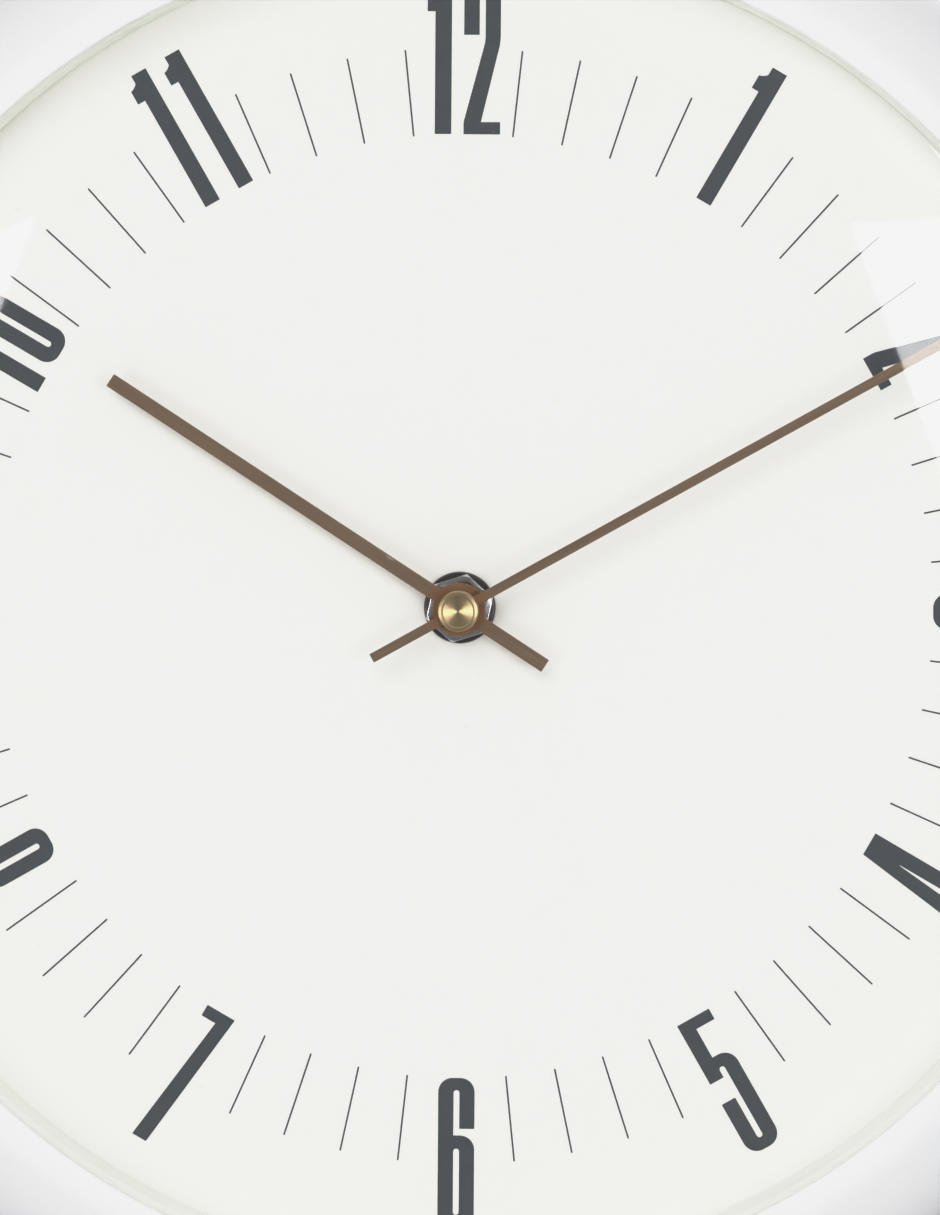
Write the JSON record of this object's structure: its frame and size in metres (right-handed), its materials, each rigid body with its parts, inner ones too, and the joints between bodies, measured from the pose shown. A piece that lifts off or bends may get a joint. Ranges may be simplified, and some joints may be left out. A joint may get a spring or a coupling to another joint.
{
  "type": "wall clock",
  "caption": "Round wall clock with white moulded frame, domed glass, printed dial with bold narrow numerals, bar hands, geared quartz movement and keyhole hanger.",
  "frame": {"origin": "centre of the wall face, on the axis of the hands", "axes": "+Z towards twelve, +Y into the wall, the dial faces -Y, +X towards three"},
  "size_m": [0.3, 0.0472, 0.3],
  "materials": {
    "frame_white": "satin moulded",
    "lens_glass": "polished",
    "ring_grey": "matte moulded",
    "dial_ivory": "matte printed",
    "ink": "screen printed",
    "cover_white": "fine texture",
    "zinc": "zinc plated",
    "hanger_steel": "zinc plated",
    "case_black": "moulded",
    "rubber": "matte",
    "washer_dark": "black chrome",
    "nut_chrome": "bright plated",
    "hand_bronze": "bronze anodised, brushed",
    "brass": "turned",
    "wheel_plastic": "moulded",
    "spring_steel": "bright",
    "wheel_cream": "moulded",
    "magnet": "sintered",
    "stator_iron": "annealed",
    "bobbin": "moulded",
    "copper": "enamelled wire",
    "board": "solder resist",
    "epoxy": "epoxy",
    "crystal_can": "bright can",
    "bridge_plastic": "moulded",
    "knob_grey": "moulded",
    "cell_label": "plain printed sleeve",
    "contact_steel": "nickel plated"
  },
  "bodies": {
    "clock": {"front_frame": "frame_white", "glass_lens": "lens_glass", "spacer_ring": "ring_grey", "dial_plate": "dial_ivory", "dial_numerals": "ink", "minute_ticks": "ink", "back_cover": "cover_white", "case_screws": "zinc", "hanger_plate": "hanger_steel", "hanger_screws": "zinc", "movement_case_front": "case_black", "movement_case_back": "case_black", "rubber_washer": "rubber", "mounting_washer": "washer_dark", "mounting_nut": "nut_chrome", "stator": "stator_iron", "coil_bobbin": "bobbin", "coil_winding": "copper", "coil_core": "stator_iron", "circuit_board": "board", "ic_cap": "epoxy", "quartz_crystal": "crystal_can", "wheel_plate": "bridge_plastic", "contact_positive": "contact_steel", "contact_negative": "contact_steel"},
    "minute": {"minute_hand": "hand_bronze", "cap_nut": "brass", "cannon_pinion": "brass", "clutch_spring": "spring_steel"},
    "hour": {"hour_hand": "hand_bronze", "hour_wheel": "wheel_plastic"},
    "minute_work": {"minute_wheel": "wheel_plastic"},
    "knob": {"setting_knob": "knob_grey"},
    "centre": {"centre_wheel": "wheel_cream"},
    "third": {"third_wheel": "wheel_cream"},
    "second": {"second_wheel": "wheel_cream"},
    "step": {"step_wheel": "wheel_cream"},
    "rotor": {"rotor_pinion": "wheel_cream", "rotor_magnet": "magnet"},
    "cell": {"battery_cell": "cell_label"}
  },
  "joints": [
    {"name": "minute_hand_turn", "type": "hinge", "parent": "clock", "child": "minute", "pos_m": [0, 0, 0], "axis": [0, 1, 0], "continuous": true},
    {"name": "hour_hand_turn", "type": "hinge", "parent": "clock", "child": "hour", "pos_m": [0, 0, 0], "axis": [0, 1, 0], "continuous": true},
    {"name": "minute_wheel_turn", "type": "hinge", "parent": "clock", "child": "minute_work", "pos_m": [0.00405, 0, 0.00701], "axis": [0, 1, 0], "continuous": true},
    {"name": "setting_knob_turn", "type": "hinge", "parent": "clock", "child": "knob", "pos_m": [0.01166, 0, 0.00979], "axis": [0, 1, 0], "continuous": true},
    {"name": "rotor_turn", "type": "hinge", "parent": "clock", "child": "rotor", "pos_m": [-0.00841, 0, -0.00375], "axis": [0, 1, 0], "continuous": true},
    {"name": "step_wheel_turn", "type": "hinge", "parent": "clock", "child": "step", "pos_m": [-0.003, 0, -0.0052], "axis": [0, 1, 0], "continuous": true},
    {"name": "second_wheel_turn", "type": "hinge", "parent": "clock", "child": "second", "pos_m": [0, 0, 0], "axis": [0, 1, 0], "continuous": true},
    {"name": "third_wheel_turn", "type": "hinge", "parent": "clock", "child": "third", "pos_m": [-0.00663, 0, 0.00382], "axis": [0, 1, 0], "continuous": true},
    {"name": "centre_wheel_turn", "type": "hinge", "parent": "clock", "child": "centre", "pos_m": [0, 0, 0], "axis": [0, 1, 0], "continuous": true},
    {"name": "battery_slide", "type": "slide", "parent": "clock", "child": "cell", "axis": [0, 1, 0], "range_m": [0, 0.03]}
  ],
  "couplings": [
    {"joint": "hour_hand_turn", "follows": "minute_hand_turn", "ratio": 0.083333},
    {"joint": "minute_wheel_turn", "follows": "minute_hand_turn", "ratio": -0.33333},
    {"joint": "setting_knob_turn", "follows": "minute_hand_turn", "ratio": 1},
    {"joint": "step_wheel_turn", "follows": "rotor_turn", "ratio": -0.16667},
    {"joint": "second_wheel_turn", "follows": "rotor_turn", "ratio": 0.033333},
    {"joint": "third_wheel_turn", "follows": "rotor_turn", "ratio": -0.0044444},
    {"joint": "centre_wheel_turn", "follows": "rotor_turn", "ratio": 0.00055556}
  ]
}
